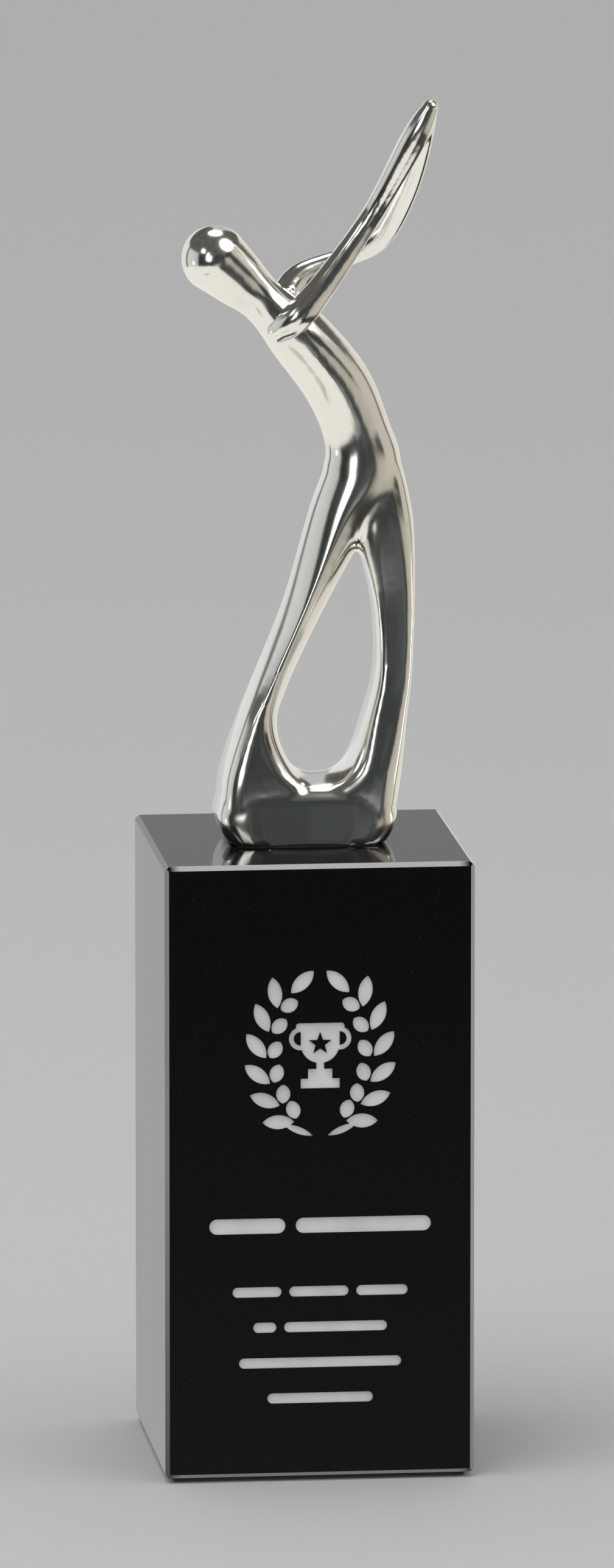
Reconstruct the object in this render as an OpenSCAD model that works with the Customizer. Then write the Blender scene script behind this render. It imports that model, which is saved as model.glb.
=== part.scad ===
// Figure trophy: a polished metal figure with raised arms on an engraved black crystal block.
// Millimetres, +Z up, +X to the right and -Y to the front. The origin is the middle of the underside.

/* [Block] */
// Width and depth of the crystal block
block_w = 60; // [54:1:80]
// Height of the crystal block
block_h = 120; // [115:1:160]
// Leg of the 45 degree bevel ground on every edge
bevel = 0.8; // [0.3:0.1:1.5]
// Thickness of the felt under the block
felt_t = 0.9; // [0.5:0.1:3]

/* [Figure] */
// Height from the foot's underside to the fingertips
figure_h = 145; // [135:0.5:150]
// Depth of the figure's foot, front to back
foot_d = 21; // [19:0.5:24]
// Distance of the figure's middle behind the block's middle
figure_y = 0; // [-5:0.5:5]

/* [Engraving] */
// Depth of the engraved recesses
engrave_d = 0.8; // [0.4:0.1:1.5]
// Thickness of the silver colour fill in the recesses
fill_t = 0.3; // [0.1:0.05:0.35]
// Width of the wreath
wreath_w = 28; // [22:1:34]
// Height of the wreath's middle above the block's underside
wreath_z = 83; // [78:1:90]
// Length of the heading's two bars and the gap between them
heading_w = 43; // [30:1:48]

/* [Joint] */
// Diameter of the stud between block and figure
stud_d = 6; // [4:1:6]
// Length of the stud inside the block
stud_in_block = 14; // [8:1:25]
// Length of the stud inside the foot
stud_in_foot = 8; // [6:0.5:8.5]

/* [Hidden] */

tape_t = 0.1;             // adhesive backing of the felt
felt_inset = 1.5;         // felt's edge inside the block's edge
felt_corner = 1.5;        // radius of the felt's corners
bond_t = 0.2;             // adhesive film under the foot
bond_inset = 1.2;         // film's edge inside the foot's edge
hole_d = stud_d + 2;      // drilled hole in the block, filled round the stud
end_gap = 0.5;            // beyond the stud's end in the foot's hole
hole_depth = stud_in_block + 2;
thread_gap = 0.1;         // between the stud and the foot's tapped hole
stud_chamfer = 0.8;       // cone at each end of the stud
figure_x = -0.3;          // the pose's middle against the block's
foot_x = 0.5;             // the foot's middle against the pose's
stud_x = figure_x + foot_x;
past = 1;                 // how far a cutter runs past the face that it opens
round_fn = 48;            // facets round the stud, its holes and the cup's handles
small_fn = 32;            // facets round the pegs, the bars' ends and the felt's corners
bead_fn = 20;             // facets round an arm
leaf_fn = 90;             // facets round the circles that a leaf is cut from
bowl_fn = 64;             // facets round the cup's bowl

block_z = felt_t + tape_t;
top_z = block_z + block_h;
figure_z = top_z + bond_t;

// ---- the figure's pose, drawn at a height of 144 and scaled to figure_h ----
// The head, trunk and legs are lofts through stations [x, y, z, half width, half depth, squareness].
// A squareness of 2 is an ellipse, less has a ridge in front, and more comes nearer to a rectangle.
head = [-17, -3, 113, 6.5, 6.5, 2];
nape = [-12.5, -3, 109, 5.5, 5.5, 2];
neck = [-7.5, -2.5, 104.5, 4.5, 5, 2];
shoulders = [-1, -1.5, 98, 6, 7, 2];
chest = [6.5, -0.5, 88.5, 6.5, 6.5, 2];
waist = [10.5, 0, 79, 6.5, 6, 2];
hips = [11.5, 0, 71, 7.5, 6.5, 2];
left_thigh = [7, 0, 62, 6, 6.5, 1.7];
left_knee = [0, 0, 45, 4, 6.5, 1.4];
left_calf = [-6.5, 0, 30, 3.5, 7, 1.5];
left_ankle = [-9, 0, 22, 4, 8, 2.5];
left_instep = [-9, 0, 13, 7, 9.5, 4];
left_sole = [-7, 0, 6, 10, 9.5, 5];
spine = [
    head, nape, neck, shoulders, chest, waist, hips,
    left_thigh, left_knee, left_calf, left_ankle, left_instep, left_sole
];

right_hip = [13, 0, 80, 3.5, 4, 2];
right_seat = [15.5, 0, 69, 4.5, 5, 2.5];
right_thigh = [16, 0, 60, 5.5, 6, 3];
right_knee = [17.5, 0, 46, 4, 6, 4.5];
right_calf = [17.5, 0, 33, 3.5, 6.5, 4.5];
right_ankle = [16, 0, 24, 4, 7.5, 4];
right_instep = [13.5, 0, 13, 5.5, 9.5, 3];
right_sole = [10, 0, 6, 8, 9.5, 5];
right_leg = [
    right_hip, right_seat, right_thigh, right_knee, right_calf, right_ankle, right_instep, right_sole
];

// The arms are round, with stations [x, y, z, radius]. They run from the shoulder to shared fingertips.
fingertips = [23.5, -10.5, 142.5, 1.5];
front_arm = [
    [-5, -6.5, 99.5, 2.5],        // shoulder
    [-1.5, -8, 102.5, 3],         // upper arm
    [4, -7, 109, 2.5],            // elbow
    [13, -6.5, 122, 2],           // forearm
    [20.5, -9.5, 136.5, 2.5],     // wrist
    fingertips
];
rear_arm = [
    [-4, 3.5, 102.5, 3],          // shoulder
    [0, 6, 108, 2.5],             // upper arm
    [9, 7.5, 111.5, 2],           // elbow, where the bend starts
    [15.5, 6.5, 115.5, 2.5],      // middle of the bend
    [19.5, 1.5, 124, 2.5],        // forearm
    [22, -5.5, 133.5, 2],         // wrist
    fingertips
];
drawn_h = fingertips[2] + fingertips[3];
k = figure_h / drawn_h;   // scale of the drawn pose

// ---- the foot: a rounded rectangle in plan, its sides tucked in below, with a ridge between the legs ----
foot_half = [17.5, 10.5]; // half width at the widest ring and half depth at the underside
foot_square = 5;
foot_belly = 5.5;         // height of the widest ring
foot_tuck = 45;           // part of a quarter turn below the widest ring
foot_edge = 8;            // radius of the tuck's arc across the sides
foot_rake = 0.6;          // the front and back lean in by this from the underside to the rim
foot_lean = 0.5;          // the sides lean in by this from the widest ring to the rim
foot_crown = 12.5;        // height of the ridge
foot_rim = 3.5;           // radius of the rim's rounding
rim_turn = 67;            // part of a quarter turn that the rim takes before the slope to the ridge
rim_in = foot_rim * (1 - cos(rim_turn));
ridge_half = 0.5;         // half depth of the ridge itself
ridge_run = foot_half[1] - foot_rake - rim_in - ridge_half;
foot_dome = ridge_run / tan(rim_turn) / 2; // rise from the rim to the ridge
rim_z = foot_crown - foot_dome - foot_rim * sin(rim_turn); // where the rim's rounding starts
foot_rings = 6;           // rings in each rounding
depth_k = foot_d / (2 * foot_half[1]); // scale of the foot's depth

// ---- lofts ----
ring_points = 32;
limb_steps = 6;           // rings from one station to the next
arm_steps = 6;
cap_rings = 7;

// Catmull-Rom value between stations i and i + 1, at t from 0 to 1.
function station(list, i) = list[max(0, min(len(list) - 1, i))];
function between(list, i, t) =
    let (a = station(list, i - 1), b = station(list, i), c = station(list, i + 1), d = station(list, i + 2))
    0.5 * (2 * b + (c - a) * t + (2 * a - 5 * b + 4 * c - d) * t * t + (3 * b - 3 * c + d - a) * t * t * t);
function along(list, steps) = concat(
    [for (i = [0 : len(list) - 2], j = [0 : steps - 1]) between(list, i, j / steps)],
    [list[len(list) - 1]]
);
// Direction of a limb at ring i, in the plane of x and z.
function direction(rings, i) =
    let (a = rings[max(0, i - 1)], b = rings[min(len(rings) - 1, i + 1)], d = [b[0] - a[0], b[2] - a[2]])
    d / norm(d);
function power(value, n) = sign(value) * pow(abs(value), 2 / n);

// One closed section, in the plane across the limb's direction.
function section(s, dir, grow = 1) = [
    for (q = [0 : ring_points - 1])
        let (a = 360 * q / ring_points)
        let (u = s[3] * grow * power(cos(a), s[5]), v = s[4] * grow * power(sin(a), s[5]))
        [s[0] - dir[1] * u, s[1] + v, s[2] + dir[0] * u]
];
// Sections of the rounded end before station s.
function cap(s, dir) = [
    for (j = [cap_rings - 1 : -1 : 1])
        let (a = 90 * j / cap_rings, reach = s[3] * sin(a))
        section([s[0] - dir[0] * reach, s[1], s[2] - dir[1] * reach, s[3], s[4], s[5]], dir, cos(a))
];

module skin(sections, start, end) {
    n = ring_points;
    m = len(sections);
    points = concat([start], [for (s = sections, p = s) p], [end]);
    last = len(points) - 1;
    faces = concat(
        [for (q = [0 : n - 1]) [0, 1 + (q + 1) % n, 1 + q]],
        [for (i = [0 : m - 2], q = [0 : n - 1])
            let (a = 1 + i * n + q, b = 1 + i * n + (q + 1) % n) each [[a, b, a + n], [b, b + n, a + n]]],
        [for (q = [0 : n - 1]) [last, 1 + (m - 1) * n + q, 1 + (m - 1) * n + (q + 1) % n]]
    );
    polyhedron(points, faces);
}

// A limb with a rounded start and a flat end.
module limb(list) {
    rings = along(list, limb_steps);
    m = len(rings);
    first = direction(rings, 0);
    start = rings[0];
    sections = concat(cap(start, first), [for (i = [0 : m - 1]) section(rings[i], direction(rings, i))]);
    tip = [start[0] - first[0] * start[3], start[1], start[2] - first[1] * start[3]];
    skin(sections, tip, [for (c = [0 : 2]) rings[m - 1][c]]);
}

// A foot's ring at a height, with its sides and its front and back drawn in.
function foot_ring(z, side, front) =
    [foot_x, 0, z, foot_half[0] - side, foot_half[1] - front, foot_square];
// Rings of the tuck, at angle a from -foot_tuck at the underside to 0 at the widest ring.
function tuck_ring(a) =
    let (z = foot_belly * (1 + sin(a) / sin(foot_tuck)))
    foot_ring(z, foot_edge * (1 - cos(a)), foot_rake * z / rim_z);
// Rings of the rim, at angle a from 0 to rim_turn.
function rim_ring(a) =
    let (in = foot_rim * (1 - cos(a)))
    foot_ring(rim_z + foot_rim * sin(a), foot_lean + in, foot_rake + in);
// Rings of the slope, at t from 0 at the rim to 1 at the ridge.
function dome_ring(t) =
    let (in = rim_in + ridge_run * t)
    foot_ring(foot_crown - foot_dome * pow(1 - t, 2), foot_lean + in, foot_rake + in);
module foot() {
    rings = concat(
        [for (i = [0 : foot_rings]) tuck_ring(-foot_tuck * (1 - i / foot_rings))],
        [for (i = [0 : foot_rings]) rim_ring(rim_turn * i / foot_rings)],
        [for (i = [1 : foot_rings]) dome_ring(i / foot_rings)]
    );
    up = [0, 1];
    skin([for (r = rings) section(r, up)], [foot_x, 0, 0], [foot_x, 0, foot_crown]);
}

module bead(s) translate([s[0], s[1], s[2]]) sphere(r = s[3], $fn = bead_fn);

module arm(list) {
    rings = along(list, arm_steps);
    for (i = [0 : len(rings) - 2])
        hull() {
            bead(rings[i]);
            bead(rings[i + 1]);
        }
}

// Head, neck, trunk, legs and foot, with its middle plane at y = 0 and its underside at z = 0.
module body_shape() resize([0, foot_d, 0]) scale(k) {
    limb(spine);
    limb(right_leg);
    foot();
}

// Pegs at the shoulders, which hold the arm casting in the body casting's sockets.
peg_r = 1.2;
peg_gap = 0.05;                   // play round a peg in its socket
peg_l = 3.5;
front_peg = [-2, -4.5, 101];      // inner end of each peg; the outer end is inside the arm
rear_peg = [-2, 1.5, 105];
module peg(inner, side, gap)
    translate(inner - [0, side * gap, 0]) rotate([-90 * side, 0, 0])
        cylinder(r = peg_r + gap, h = peg_l + gap, $fn = small_fn);
module shoulder_pegs(gap = 0) scale(k) {
    peg(front_peg, -1, gap);
    peg(rear_peg, 1, gap);
}

module at_figure() translate([figure_x, figure_y, figure_z]) children();

module figure_body() color("silver") at_figure() difference() {
    body_shape();
    translate([foot_x, 0, -past])
        cylinder(d = stud_d + thread_gap, h = past + stud_in_foot + end_gap, $fn = round_fn);
    shoulder_pegs(peg_gap);
}

module arm_loop() color("silver") at_figure() {
    difference() {
        scale(k) {
            arm(front_arm);
            arm(rear_arm);
        }
        body_shape();
    }
    shoulder_pegs();
}

// ---- joint between figure and block ----
module mounting_stud() color("slategray") translate([stud_x, figure_y, top_z - stud_in_block]) {
    r = stud_d / 2;
    length = stud_in_block + bond_t + stud_in_foot;
    cylinder(r1 = r - stud_chamfer, r2 = r, h = stud_chamfer, $fn = round_fn);
    translate([0, 0, stud_chamfer]) cylinder(r = r, h = length - 2 * stud_chamfer, $fn = round_fn);
    translate([0, 0, length - stud_chamfer])
        cylinder(r1 = r, r2 = r - stud_chamfer, h = stud_chamfer, $fn = round_fn);
}

module stud_epoxy() color("wheat") translate([stud_x, figure_y, top_z - hole_depth]) difference() {
    cylinder(d = hole_d, h = hole_depth, $fn = round_fn);
    translate([0, 0, hole_depth - stud_in_block]) cylinder(d = stud_d, h = hole_depth, $fn = round_fn);
}

module foot_bond() color("wheat") translate([figure_x, figure_y, top_z])
    linear_extrude(bond_t) difference() {
        ring = tuck_ring(-foot_tuck) - [0, 0, 0, bond_inset, bond_inset, 0];
        polygon([for (p = section(ring, [0, 1])) [k * p[0], depth_k * p[1]]]);
        translate([foot_x, 0]) circle(d = hole_d, $fn = round_fn);
    }

// ---- crystal block ----
module bevelled_square(w, h) polygon([
    [bevel, 0], [w - bevel, 0], [w, bevel], [w, h - bevel],
    [w - bevel, h], [bevel, h], [0, h - bevel], [0, bevel]
]);

module bevelled_block() translate([-block_w / 2, -block_w / 2, block_z]) intersection() {
    linear_extrude(block_h) bevelled_square(block_w, block_w);
    translate([0, block_w, 0]) rotate([90, 0, 0]) linear_extrude(block_w) bevelled_square(block_w, block_h);
    rotate([90, 0, 90]) linear_extrude(block_w) bevelled_square(block_w, block_h);
}

// Places a flat drawing on the front face, x to the right and y up from the block's underside.
// The drawing becomes a slab from depth deep to depth shallow behind the face.
module on_front(shallow, deep) translate([0, -block_w / 2 + deep, block_z])
    rotate([90, 0, 0]) linear_extrude(deep - shallow) children();
module recess() on_front(-past, engrave_d) children();
module fill() on_front(engrave_d - fill_t, engrave_d) children();

// A leaf is the lens where two circles cross. It points along +x from the origin.
module leaf(length, width) {
    r = (length * length + width * width) / (4 * width);
    translate([length / 2, 0]) intersection() {
        translate([0, r - width / 2]) circle(r, $fn = leaf_fn);
        translate([0, width / 2 - r]) circle(r, $fn = leaf_fn);
    }
}

// ---- wreath, in shares of its width ----
oval = wreath_w * [0.36, 0.52];   // half axes of the branches' line
leaf_l = wreath_w * 0.22;
leaf_w = leaf_l * 0.45;
inner_leaf = 0.6;         // length of an inner leaf against an outer one
leaf_spread = 36;         // angle between a leaf and the branch
leaf_foot = leaf_l / 10;  // gap between a leaf and the branch's line
pair_count = 6;
branch_start = -64;       // angles on the oval, from +x
branch_step = 20;
stem_turn = 22;

// The right-hand branch: leaves in pairs along an oval, one at the tip, and the stem's end.
module branch() translate([0, wreath_z]) {
    for (i = [0 : pair_count]) {
        a = branch_start + branch_step * i;
        run = atan2(oval[1] * cos(a), -oval[0] * sin(a));
        translate([oval[0] * cos(a), oval[1] * sin(a)])
            if (i == pair_count) rotate(run) leaf(leaf_l, leaf_w);
            else {
                rotate(run - leaf_spread) translate([leaf_foot, 0]) leaf(leaf_l, leaf_w);
                rotate(run + leaf_spread) translate([leaf_foot, 0]) leaf(leaf_l * inner_leaf, leaf_w);
            }
    }
    translate([leaf_w / 2, -oval[1] - leaf_w / 2]) rotate(stem_turn) leaf(leaf_l, leaf_w / 2);
}
module left_branch() mirror([1, 0]) branch();

// ---- a two-handled cup, drawn from the middle of its round bowl and in shares of the bowl's radius ----
bowl_r = wreath_w * 0.135;
bowl_wall = bowl_r * 0.9;         // straight height above the round bottom
rim = bowl_r * [2.5, 0.35];       // width and height
handle_r = bowl_r * 0.6;
handle_t = bowl_r * 0.25;
cup_stem = bowl_r * [0.4, 1.8];
cup_foot = bowl_r * [1.25, 0.5];
cup_base = bowl_r * [2, 0.5];
cup_rise = bowl_r * 0.55;         // bowl's middle above the wreath's
star_r = bowl_r * [0.6, 0.25];    // outer and inner corners
star_points = 5;

module cup_outline() {
    circle(bowl_r, $fn = bowl_fn);
    translate([-bowl_r, 0]) square([2 * bowl_r, bowl_wall]);
    bar(0, bowl_wall, rim[0], rim[1]);
    for (side = [-1, 1])
        translate([side * bowl_r, bowl_wall / 2 - rim[1] / 2]) difference() {
            circle(handle_r, $fn = round_fn);
            circle(handle_r - handle_t, $fn = round_fn);
        }
    translate([-cup_stem[0] / 2, -cup_stem[1]]) square(cup_stem);
    translate([-cup_foot[0] / 2, -cup_stem[1]]) square(cup_foot);
    translate([-cup_base[0] / 2, -cup_stem[1] - cup_base[1]]) square(cup_base);
}
// The outer and inner corners come in turn, from the top.
module star() polygon([
    for (i = [0 : 2 * star_points - 1])
        let (a = 180 * i / star_points) star_r[i % 2] * [sin(a), cos(a)]
]);
// The star on the bowl is left unengraved.
module cup() translate([0, wreath_z + cup_rise]) difference() {
    cup_outline();
    star();
}

// A bar with round ends. Its middle is at x.
module bar(x, y, length, height) translate([x, y]) {
    square([length - height, height], center = true);
    for (side = [-1, 1]) translate([side * (length - height) / 2, 0]) circle(d = height, $fn = small_fn);
}
// Bars side by side, centred as a row.
function total(list, n) = n <= 0 ? 0 : list[n - 1] + total(list, n - 1);
module bar_row(lengths, y, height, gap) {
    whole = total(lengths, len(lengths)) + gap * (len(lengths) - 1);
    for (i = [0 : len(lengths) - 1])
        bar(total(lengths, i) + gap * i + lengths[i] / 2 - whole / 2, y, lengths[i], height);
}

// ---- the bars that stand in for a heading and four lines, with heights above the block's underside ----
heading_y = 49.5;
heading_t = 3;
heading_gap = 2;
heading_share = [0.36, 0.64];     // each bar's part of the heading's length
line_top = 36.5;
line_pitch = 7;
line_t = 2;
line_gap = 1.5;
line_lengths = [[9.5, 11.5, 10], [4.5, 20], [31.5], [20.5]];
module heading_bars() bar_row((heading_w - heading_gap) * heading_share, heading_y, heading_t, heading_gap);
module line_bars(i) bar_row(line_lengths[i], line_top - line_pitch * i, line_t, line_gap);

module crystal_block() color([0.03, 0.03, 0.035]) difference() {
    bevelled_block();
    translate([stud_x, figure_y, top_z - hole_depth])
        cylinder(d = hole_d, h = hole_depth + past, $fn = round_fn);
    recess() branch();
    recess() left_branch();
    recess() cup();
    recess() heading_bars();
    for (i = [0 : 3]) recess() line_bars(i);
}

module wreath_right_fill() color("gainsboro") fill() branch();
module wreath_left_fill() color("gainsboro") fill() left_branch();
module cup_fill() color("gainsboro") fill() cup();
module heading_fill() color("gainsboro") fill() heading_bars();
module line_fill(i) color("gainsboro") fill() line_bars(i);

// ---- underside ----
module pad(t) {
    w = block_w - 2 * felt_inset;
    r = felt_corner;
    linear_extrude(t) {
        square([w, w - 2 * r], center = true);
        square([w - 2 * r, w], center = true);
        for (x = [-1, 1], y = [-1, 1]) translate([x, y] * (w / 2 - r)) circle(r, $fn = small_fn);
    }
}
module felt_pad() color([0.06, 0.06, 0.06]) pad(felt_t);
module pad_tape() color("white") translate([0, 0, felt_t]) pad(tape_t);

crystal_block();
figure_body();
arm_loop();
mounting_stud();
stud_epoxy();
foot_bond();
wreath_left_fill();
wreath_right_fill();
cup_fill();
heading_fill();
line_fill(0);  // line_1_fill
line_fill(1);  // line_2_fill
line_fill(2);  // line_3_fill
line_fill(3);  // line_4_fill
pad_tape();
felt_pad();
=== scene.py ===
"""Figure trophy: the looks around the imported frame. Metres, +Z up, -Y to the front."""

from math import cos, degrees, radians, sin

import bmesh
import bpy
import numpy as np
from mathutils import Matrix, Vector


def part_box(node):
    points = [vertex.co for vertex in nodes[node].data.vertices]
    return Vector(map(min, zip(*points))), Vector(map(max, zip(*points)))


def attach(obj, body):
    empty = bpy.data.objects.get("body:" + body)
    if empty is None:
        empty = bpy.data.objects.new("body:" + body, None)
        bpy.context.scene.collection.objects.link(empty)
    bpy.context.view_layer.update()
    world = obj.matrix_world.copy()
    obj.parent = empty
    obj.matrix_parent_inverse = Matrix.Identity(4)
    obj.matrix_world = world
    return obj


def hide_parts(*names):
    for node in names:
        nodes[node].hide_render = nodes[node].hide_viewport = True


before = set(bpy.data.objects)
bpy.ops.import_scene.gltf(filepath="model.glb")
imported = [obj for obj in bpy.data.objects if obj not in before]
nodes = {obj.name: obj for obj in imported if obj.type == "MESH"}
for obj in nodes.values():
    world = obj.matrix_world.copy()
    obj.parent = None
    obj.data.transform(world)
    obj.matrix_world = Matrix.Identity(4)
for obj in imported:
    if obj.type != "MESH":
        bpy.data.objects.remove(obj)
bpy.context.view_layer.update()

MM = 0.001
# Lower than real crystal's: it sets how strongly the block's faces mirror the studio.
CRYSTAL_IOR = 1.36
# How far behind the front face the carved walls start and end.
CARVED_FROM = 0.05 * MM
CARVED_TO = 1.5 * MM
scene = bpy.context.scene
body = "root"


# ---- node helpers ----

class Nodes:
    """A material's or world's node tree, with short calls to add and link nodes."""

    def __init__(self, owner):
        owner.use_nodes = True
        self.tree = owner.node_tree
        self.tree.nodes.clear()

    def add(self, kind, inputs=None, **settings):
        node = self.tree.nodes.new("ShaderNode" + kind)
        for name, value in settings.items():
            setattr(node, name, value)
        for name, value in (inputs or {}).items():
            socket = node.inputs[name]
            if isinstance(value, bpy.types.NodeSocket):
                self.tree.links.new(value, socket)
            else:
                socket.default_value = value
        return node

    def ramp(self, factor, stops):
        """A colour ramp. Each stop is a place from 0 to 1 and a grey level or a colour."""
        node = self.add("ValToRGB", {"Fac": factor})
        elements = node.color_ramp.elements
        while len(elements) < len(stops):
            elements.new(1)
        for element, (place, shade) in zip(elements, stops):
            element.position = place
            colour = shade if isinstance(shade, tuple) else (shade,) * 3
            element.color = (*colour, 1)
        return node.outputs["Color"]

    def math(self, operation, a, b=0.0):
        node = self.add("Math", {0: a, 1: b}, operation=operation)
        return node.outputs[0]

    def noise(self, vector, scale, detail=3, roughness=0.5):
        inputs = {"Vector": vector, "Scale": scale, "Detail": detail, "Roughness": roughness}
        return self.add("TexNoise", inputs).outputs["Fac"]

    def map(self, value, low, high, to_low, to_high):
        inputs = {"Value": value, "From Min": low, "From Max": high, "To Min": to_low, "To Max": to_high}
        return self.add("MapRange", inputs).outputs["Result"]

    def window(self, value, low, high, soft):
        """1 where the value is between low and high, 0 outside, with soft edges."""
        rise = self.map(value, low - soft, low + soft, 0, 1)
        fall = self.map(value, high - soft, high + soft, 1, 0)
        return self.math("MULTIPLY", rise, fall)

    def mix(self, factor, a, b):
        node = self.add("Mix", data_type="RGBA")
        for index, value in ((0, factor), (6, a), (7, b)):
            if isinstance(value, bpy.types.NodeSocket):
                self.tree.links.new(value, node.inputs[index])
            else:
                node.inputs[index].default_value = value if index == 0 else (*value, 1)
        return node.outputs[2]

    def bump(self, height, strength, distance):
        inputs = {"Height": height, "Strength": strength, "Distance": distance}
        return self.add("Bump", inputs).outputs["Normal"]

    def place(self):
        return self.add("TexCoord").outputs["Object"]

    def surface(self, **inputs):
        named = {name.replace("_", " "): value for name, value in inputs.items()}
        shader = self.add("BsdfPrincipled", named)
        self.add("OutputMaterial", {"Surface": shader.outputs["BSDF"]})


def material(name):
    made = bpy.data.materials.new(name)
    return made, Nodes(made)


# ---- materials ----

def polished_metal():
    made, n = material("polished_metal")
    at = n.place()
    smears = n.noise(at, 90, 4, 0.6)
    grain = n.noise(at, 2600, 2)
    roughness = n.math("ADD", n.map(smears, 0.35, 0.75, 0.12, 0.17), n.map(grain, 0, 1, 0, 0.02))
    colour = n.mix(n.map(smears, 0.3, 0.8, 0, 1), (0.88, 0.87, 0.84), (0.83, 0.815, 0.78))
    ripple = n.noise(at, 150, 2)
    n.surface(
        Base_Color=colour, Metallic=1.0, Roughness=roughness,
        Normal=n.bump(ripple, 0.10, 0.3 * MM),
    )
    return made


def black_crystal():
    """Polished outside, and frosted on the sand-carved walls of the recesses in the front face."""
    made, n = material("black_crystal")
    at = n.place()
    smears = n.noise(at, 40, 4, 0.65)
    dust = n.ramp(n.noise(at, 1900, 2), [(0.66, 0.0), (0.74, 1.0)])
    polished = n.math("ADD", n.map(smears, 0.35, 0.8, 0.01, 0.045), n.math("MULTIPLY", dust, 0.08))

    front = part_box("crystal_block")[0][1]
    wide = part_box("heading_fill")[1][0]
    axes = n.add("SeparateXYZ", {0: at})
    across = n.window(axes.outputs[0], -1.3 * wide, 1.3 * wide, MM)
    deep = n.window(axes.outputs[1], front + CARVED_FROM, front + CARVED_TO, 0.02 * MM)
    carved = n.math("MULTIPLY", across, deep)
    frost = n.noise(at, 5200, 3, 0.7)

    dark = n.mix(n.math("MULTIPLY", dust, 0.04), (0.004, 0.004, 0.005), (0.5, 0.5, 0.5))
    white = n.mix(frost, (0.30, 0.31, 0.31), (0.46, 0.47, 0.46))
    n.surface(
        Base_Color=n.mix(carved, dark, white),
        Roughness=n.add("Mix", {0: carved, 2: polished, 3: 0.7}).outputs[0],
        IOR=CRYSTAL_IOR,
    )
    return made


def silver_fill():
    made, n = material("silver_fill")
    at = n.place()
    grain = n.noise(at, 3500, 3, 0.7)
    cloud = n.noise(at, 120, 3)
    colour = n.mix(n.map(cloud, 0.3, 0.7, 0, 1), (0.62, 0.63, 0.62), (0.74, 0.75, 0.74))
    n.surface(
        Base_Color=colour, Roughness=n.map(grain, 0, 1, 0.55, 0.8),
        Normal=n.bump(grain, 0.35, 0.05 * MM),
    )
    return made


def plain_steel():
    made, n = material("plain_steel")
    at = n.place()
    turning = n.add("TexWave", {"Vector": at, "Scale": 900.0, "Distortion": 0.4}, bands_direction="Z")
    grain = n.noise(at, 1500, 2)
    n.surface(
        Base_Color=n.mix(grain, (0.42, 0.43, 0.44), (0.55, 0.56, 0.57)), Metallic=1.0,
        Roughness=n.map(grain, 0, 1, 0.28, 0.42),
        Normal=n.bump(turning.outputs["Fac"], 0.3, 0.03 * MM),
    )
    return made


def adhesive():
    made, n = material("adhesive")
    at = n.place()
    cloud = n.noise(at, 400, 3)
    n.surface(
        Base_Color=n.mix(cloud, (0.62, 0.55, 0.38), (0.72, 0.65, 0.48)),
        Roughness=n.map(cloud, 0, 1, 0.2, 0.4),
        Normal=n.bump(cloud, 0.3, 0.05 * MM),
    )
    return made


def tape_film():
    made, n = material("tape_film")
    fibre = n.noise(n.place(), 2200, 3)
    n.surface(
        Base_Color=n.mix(fibre, (0.66, 0.66, 0.62), (0.78, 0.78, 0.74)),
        Roughness=n.map(fibre, 0, 1, 0.45, 0.65),
    )
    return made


def felt():
    made, n = material("felt")
    at = n.place()
    fibre = n.noise(at, 2600, 4, 0.7)
    n.surface(
        Base_Color=n.mix(fibre, (0.008, 0.008, 0.009), (0.035, 0.035, 0.037)),
        Roughness=0.95, Sheen_Weight=0.25,
        Normal=n.bump(fibre, 0.9, 0.2 * MM),
    )
    return made


def floor_paper():
    made, n = material("floor_paper")
    grain = n.noise(n.place(), 300, 3)
    n.surface(Base_Color=n.mix(grain, (0.46, 0.458, 0.463), (0.48, 0.478, 0.483)), Roughness=0.9)
    return made


# ---- smoothed castings ----

# Each smoothing step pulls a point towards its neighbours, and the next pushes it back a little further.
SHRINK = 0.5
SWELL = -0.53
FILL_STEP = 0.5
FILL_STEPS_A_ROUND = 8
# The figure's creases are filled between these heights above its underside, in this many rounds.
CREASE_LOW = 9.5 * MM
CREASE_HIGH = 85 * MM
CREASE_ROUNDS = 20


def point_rows(mesh, kind):
    """The points ("co") or their normals ("normal"), one row each."""
    flat = np.empty(len(mesh.vertices) * 3)
    mesh.vertices.foreach_get(kind, flat)
    return flat.reshape(-1, 3)


def move_points(mesh, points):
    mesh.vertices.foreach_set("co", points.ravel())
    mesh.update()


def neighbour_mean(mesh):
    """Gives a function from the points to the mean of each one's neighbours along the edges."""
    edges = np.empty(len(mesh.edges) * 2, np.int64)
    mesh.edges.foreach_get("vertices", edges)
    edges = edges.reshape(-1, 2)
    both = np.concatenate([edges, edges[:, ::-1]])
    both = both[np.argsort(both[:, 0], kind="stable")]
    starts = np.searchsorted(both[:, 0], np.arange(len(mesh.vertices)))
    count = np.bincount(both[:, 0], minlength=len(mesh.vertices))[:, None]
    return lambda points: np.add.reduceat(points[both[:, 1]], starts, axis=0) / count


def fair(mesh, passes):
    """Takes the facets out and keeps the size."""
    mean = neighbour_mean(mesh)
    points = point_rows(mesh, "co")
    for _ in range(passes):
        for step in (SHRINK, SWELL):
            points = points + step * (mean(points) - points)
    move_points(mesh, points)


def fillet(mesh, low, high, rounds):
    """Fills the creases between two heights: a point moves only where its neighbours lie outside it."""
    mean = neighbour_mean(mesh)
    for _ in range(rounds):
        points = point_rows(mesh, "co")
        normals = point_rows(mesh, "normal")
        inside = (points[:, 2] > low) & (points[:, 2] < high)
        for _ in range(FILL_STEPS_A_ROUND):
            pull = mean(points) - points
            hollow = inside & (np.sum(pull * normals, axis=1) > 0)
            points[hollow] += FILL_STEP * pull[hollow]
        move_points(mesh, points)


def keep_inside(mesh, low, high):
    """Holds the skin inside its CAD node's own box, where the swelling steps pass it by a hair."""
    move_points(mesh, np.clip(point_rows(mesh, "co"), low, high))


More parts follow.
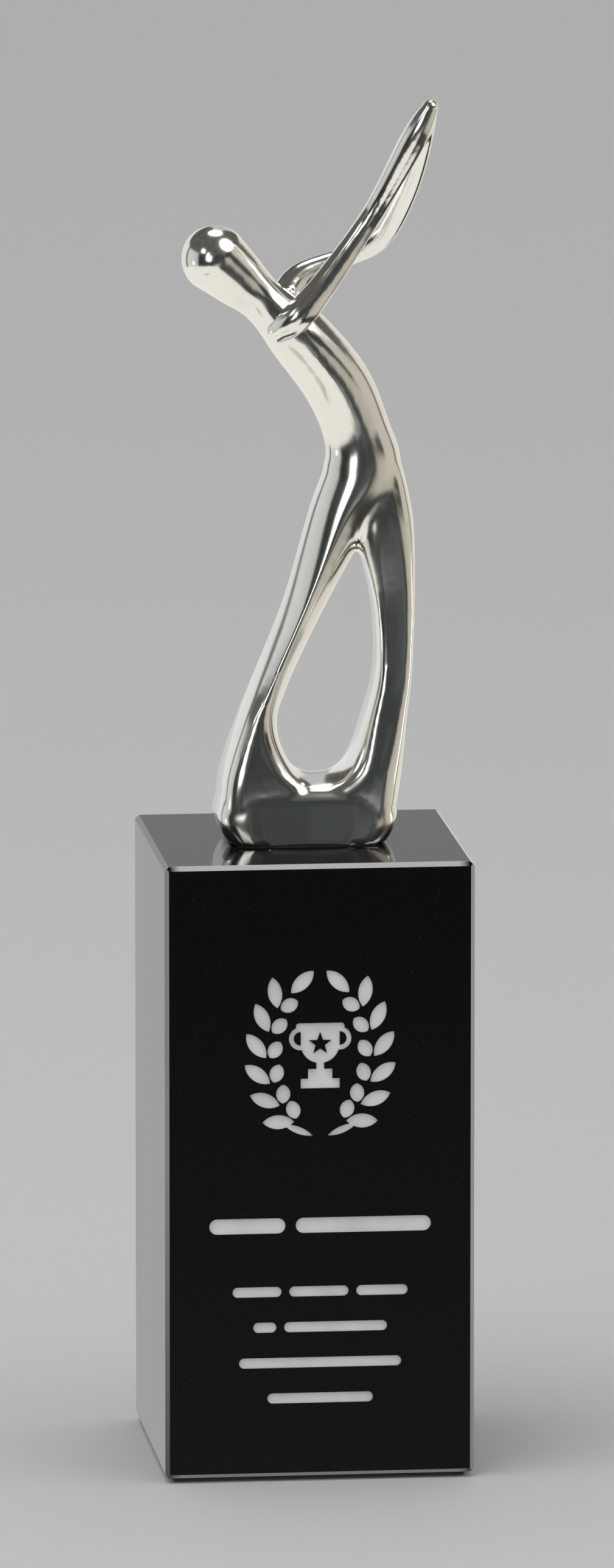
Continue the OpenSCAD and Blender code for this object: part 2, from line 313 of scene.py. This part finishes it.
def apply_modifiers(piece):
    graph = bpy.context.evaluated_depsgraph_get()
    done = bpy.data.meshes.new_from_object(piece.evaluated_get(graph))
    piece.modifiers.clear()
    piece.data = done


def casting(node, name, voxel, passes, creases=None):
    """The CAD node's shape as a fine, even skin without facets."""
    piece = bpy.data.objects.new(name, nodes[node].data.copy())
    scene.collection.objects.link(piece)
    work = bmesh.new()
    work.from_mesh(piece.data)
    bmesh.ops.remove_doubles(work, verts=work.verts, dist=0.001 * MM)
    work.to_mesh(piece.data)
    work.free()
    remesh = piece.modifiers.new("remesh", "REMESH")
    remesh.mode = "VOXEL"
    remesh.voxel_size = voxel
    apply_modifiers(piece)
    if creases:
        fillet(piece.data, *creases)
    fair(piece.data, passes)
    keep_inside(piece.data, *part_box(node))
    piece.data.polygons.foreach_set("use_smooth", [True] * len(piece.data.polygons))
    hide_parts(node)
    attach(piece, body)
    return piece


def dress(piece, made):
    piece.data.materials.clear()
    piece.data.materials.append(made)


metal = polished_metal()
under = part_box("figure_body")[0][2]
creases = (under + CREASE_LOW, under + CREASE_HIGH, CREASE_ROUNDS)
figure = casting("figure_body", "figure_body_casting", voxel=0.4 * MM, passes=60, creases=creases)
arms = casting("arm_loop", "arm_loop_casting", voxel=0.3 * MM, passes=120)
for piece in (figure, arms):
    dress(piece, metal)


# ---- felt ----

def felt_sheet(name, cell=0.5 * MM, corner=1.5 * MM, fuzz=0.06 * MM, edge_wide=0.6 * MM, edge_lift=0.25 * MM):
    """The felt as a sheet of its own: rounded corners, soft edges and a napped underside and rim."""
    low, high = (Vector(v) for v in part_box("felt_pad"))
    half = (high - low) / 2
    middle = (high + low) / 2
    count = round(2 * half.x / cell)
    work = bmesh.new()
    bmesh.ops.create_grid(work, x_segments=count, y_segments=count, size=1)
    random = np.random.default_rng(7)
    for point in work.verts:
        flat = Vector((point.co.x * half.x, point.co.y * half.y))
        inner = Vector((
            max(-half.x + corner, min(half.x - corner, flat.x)),
            max(-half.y + corner, min(half.y - corner, flat.y)),
        ))
        out = flat - inner
        reach = max(abs(out.x), abs(out.y))
        if out.length > 0:
            flat = inner + out * (reach / out.length)
        point.co = (middle.x + flat.x, middle.y + flat.y, high.z)
    flat_area = sum(face.calc_area() for face in work.faces)
    top = list(work.faces)
    lower = bmesh.ops.extrude_face_region(work, geom=top)
    moved = [item for item in lower["geom"] if isinstance(item, bmesh.types.BMVert)]
    for point in moved:
        nap = random.uniform(0, fuzz)
        edge = min(half.x - abs(point.co.x - middle.x), half.y - abs(point.co.y - middle.y))
        point.co.z = low.z + nap + edge_lift * max(0, 1 - edge / edge_wide) ** 2
    bmesh.ops.recalc_face_normals(work, faces=work.faces)
    mesh = bpy.data.meshes.new(name)
    work.to_mesh(mesh)
    work.free()
    piece = bpy.data.objects.new(name, mesh)
    scene.collection.objects.link(piece)
    mesh.polygons.foreach_set("use_smooth", [True] * len(mesh.polygons))
    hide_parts("felt_pad")
    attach(piece, body)
    return piece


pad = felt_sheet("felt_pad_sheet")
dress(pad, felt())


# ---- materials of the CAD nodes that stay ----

for names, made in (
    (["crystal_block"], black_crystal()),
    ([name for name in nodes if name.endswith("_fill")], silver_fill()),
    (["stud_epoxy", "foot_bond"], adhesive()),
    (["mounting_stud"], plain_steel()),
    (["pad_tape"], tape_film()),
):
    for name in names:
        slots = nodes[name].material_slots
        if slots:
            slots[0].material = made
        else:
            nodes[name].data.materials.append(made)


# ---- stage, light and camera ----

def floor(half):
    """The floor lies under everything the camera sees. Mirrored surfaces see the studio's walls instead."""
    mesh = bpy.data.meshes.new("floor")
    corners = [(-half, -half, 0), (half, -half, 0), (half, half, 0), (-half, half, 0)]
    mesh.from_pydata(corners, [], [(0, 1, 2, 3)])
    plane = bpy.data.objects.new("floor", mesh)
    scene.collection.objects.link(plane)
    plane.visible_glossy = False
    dress(plane, floor_paper())


def softbox(name, place, aim, size, power):
    """A lamp for the soft shadow and the matt surfaces. Mirrored surfaces don't see it."""
    lamp = bpy.data.lights.new(name, "AREA")
    lamp.shape = "RECTANGLE"
    lamp.size, lamp.size_y = size
    lamp.energy = power
    box = bpy.data.objects.new(name, lamp)
    box.location = place
    box.rotation_euler = (Vector(aim) - Vector(place)).to_track_quat("-Z", "Y").to_euler()
    box.visible_glossy = False
    scene.collection.objects.link(box)


# The studio in mirrored surfaces, in degrees: azimuth is 0 at the front and + to the right.
# Walls up to their top edge, as (azimuth, colour).
WALLS = [
    (-180, (0.84, 0.85, 0.85)), (-124, (0.80, 0.81, 0.81)), (-121, (0.06, 0.06, 0.055)),
    (-116, (0.06, 0.06, 0.055)), (-113, (0.74, 0.75, 0.74)), (-70, (0.56, 0.57, 0.56)),
    (-63, (0.02, 0.021, 0.02)), (-20, (0.010, 0.011, 0.012)), (0, (0.030, 0.036, 0.036)),
    (22, (0.036, 0.043, 0.042)), (30, (0.02, 0.02, 0.018)), (37, (0.46, 0.43, 0.36)),
    (70, (0.58, 0.55, 0.47)), (102, (0.60, 0.57, 0.49)), (105, (0.07, 0.068, 0.06)),
    (110, (0.07, 0.068, 0.06)), (113, (0.80, 0.76, 0.64)), (150, (0.82, 0.79, 0.70)),
    (180, (0.84, 0.85, 0.85)),
]
WALL_TOP = 21
WALL_TOP_SOFT = 2
CEILING = (0.085, 0.083, 0.075)
# A faint unevenness over the walls and ceiling, which shows in the dark ones.
HAZE = (0.55, 0.60, 0.60)
TABLE = (0.92, 0.90, 0.84)
# The table's far edge, as (azimuth, elevation): it is nearer on the right.
TABLE_EDGE = [(-180, -18), (6, -18), (14, -24), (22, -44), (150, -44), (172, -18), (180, -18)]
# Where the walls end on the right and a dark floor shows between them and the table.
WALL_FOOT = [
    (-180, -90), (16, -90), (20, -19), (43, -27), (66, -32), (103, -34), (138, -27), (150, -90), (180, -90),
]
DARK = (0.035, 0.036, 0.032)
# Patches on top of these: (azimuth, elevation, half width, half height, colour).
PATCHES = [
    (6, -15.5, 13, 3.6, (0.30, 0.31, 0.31)),
    (-174, -10, 8, 7, (0.60, 0.61, 0.60)),
    (174, 10, 8, 8, (0.45, 0.46, 0.46)),
    (48, 13.5, 14, 7.5, (0.03, 0.03, 0.028)),
    (75, 32, 14, 10, (0.80, 0.77, 0.70)),
    (165, 39, 14, 21, (0.55, 0.55, 0.555)),
    (-26, 8, 9, 9, (2.2, 2.2, 2.1)),
    (-29, 21, 5, 4.5, (2.2, 2.2, 2.1)),
    (-52, 30, 6, 6, (2.5, 2.5, 2.4)),
    (-84, -10, 2.0, 2.2, (7.0, 7.0, 6.9)),
    (96, -10, 2.5, 3, (6.0, 6.0, 5.6)),
    (-38, -46, 16, 0.9, DARK),
    (-36, -50, 10, 0.6, DARK),
]
# Round lamps, as (direction, radius in degrees, colour): above on the right, and over the back.
DISCS = [
    (Vector((0.56, -0.39, 0.73)), 20, (9.0, 9.0, 8.8)),
    (Vector((0.05, 0.30, 0.95)), 14, (6.0, 6.0, 5.9)),
]
# Half the width of a soft edge, in degrees.
EDGE_SOFT = 1.5
DISC_SOFT = 2
# What the camera and matt surfaces see.
PLAIN = (0.78, 0.78, 0.785, 1)


def room():
    """Mirrored surfaces see the studio by direction. Matt ones and the camera see a plain pale surround."""
    world = bpy.data.worlds.new("room")
    scene.world = world
    n = Nodes(world)
    way = n.add("TexCoord").outputs["Generated"]
    axes = n.add("SeparateXYZ", {0: way})
    x, y, z = (axes.outputs[i] for i in range(3))
    azimuth = n.math("MULTIPLY", n.math("ARCTAN2", x, n.math("MULTIPLY", y, -1.0)), degrees(1))
    elevation = n.math("MULTIPLY", n.math("ARCSINE", z), degrees(1))
    turn = n.map(azimuth, -180, 180, 0, 1)

    shade = n.ramp(turn, [(angle / 360 + 0.5, colour) for angle, colour in WALLS])
    shade = n.mix(n.map(elevation, WALL_TOP - WALL_TOP_SOFT, WALL_TOP + WALL_TOP_SOFT, 0, 1), shade, CEILING)
    haze = n.map(n.noise(way, 9, 3), 0.44, 0.66, 0, 0.11)
    shade = n.mix(haze, shade, HAZE)
    for line, colour in ((WALL_FOOT, DARK), (TABLE_EDGE, TABLE)):
        edge = n.ramp(turn, [(angle / 360 + 0.5, -height / 90) for angle, height in line])
        below = n.math("SUBTRACT", n.math("MULTIPLY", edge, -90.0), elevation)
        shade = n.mix(n.map(below, -EDGE_SOFT, EDGE_SOFT, 0, 1), shade, colour)
    for across, up, half_width, half_height, colour in PATCHES:
        soft = min(EDGE_SOFT, 0.4 * half_height)
        wide = n.window(azimuth, across - half_width, across + half_width, soft)
        high = n.window(elevation, up - half_height, up + half_height, soft)
        shade = n.mix(n.math("MULTIPLY", wide, high), shade, colour)
    for centre, radius, colour in DISCS:
        near = n.add("VectorMath", {0: way, 1: centre.normalized()}, operation="DOT_PRODUCT").outputs["Value"]
        disc = n.map(near, cos(radians(radius + DISC_SOFT)), cos(radians(radius - DISC_SOFT)), 0, 1)
        shade = n.mix(disc, shade, colour)

    plain = n.add("Background", {"Color": PLAIN, "Strength": 1.0})
    mirrored = n.add("Background", {"Color": shade, "Strength": 1.0})
    glossy_ray = n.add("LightPath").outputs["Is Glossy Ray"]
    mixed = n.add("MixShader", {0: glossy_ray, 1: plain.outputs[0], 2: mirrored.outputs[0]})
    n.add("OutputWorld", {"Surface": mixed.outputs[0]})


def camera(azimuth, elevation, distance, aim, lens):
    data = bpy.data.cameras.new("camera")
    data.sensor_width = 36
    data.lens = lens
    eye = bpy.data.objects.new("camera", data)
    a, e = radians(azimuth), radians(elevation)
    back = Vector((sin(a) * cos(e), -cos(a) * cos(e), sin(e)))
    eye.location = aim + back * distance
    eye.rotation_euler = (-back).to_track_quat("-Z", "Y").to_euler()
    scene.collection.objects.link(eye)
    scene.camera = eye


scene.view_settings.view_transform = "Standard"
floor(half=8)
room()
softbox("key", place=(-0.5, -0.4, 1.4), aim=(0, 0, 0.1), size=(1.0, 1.0), power=9)
camera(azimuth=-6.2, elevation=9.87, distance=2.86, aim=Vector((0.0007, 0, 0.1316)), lens=338.7)
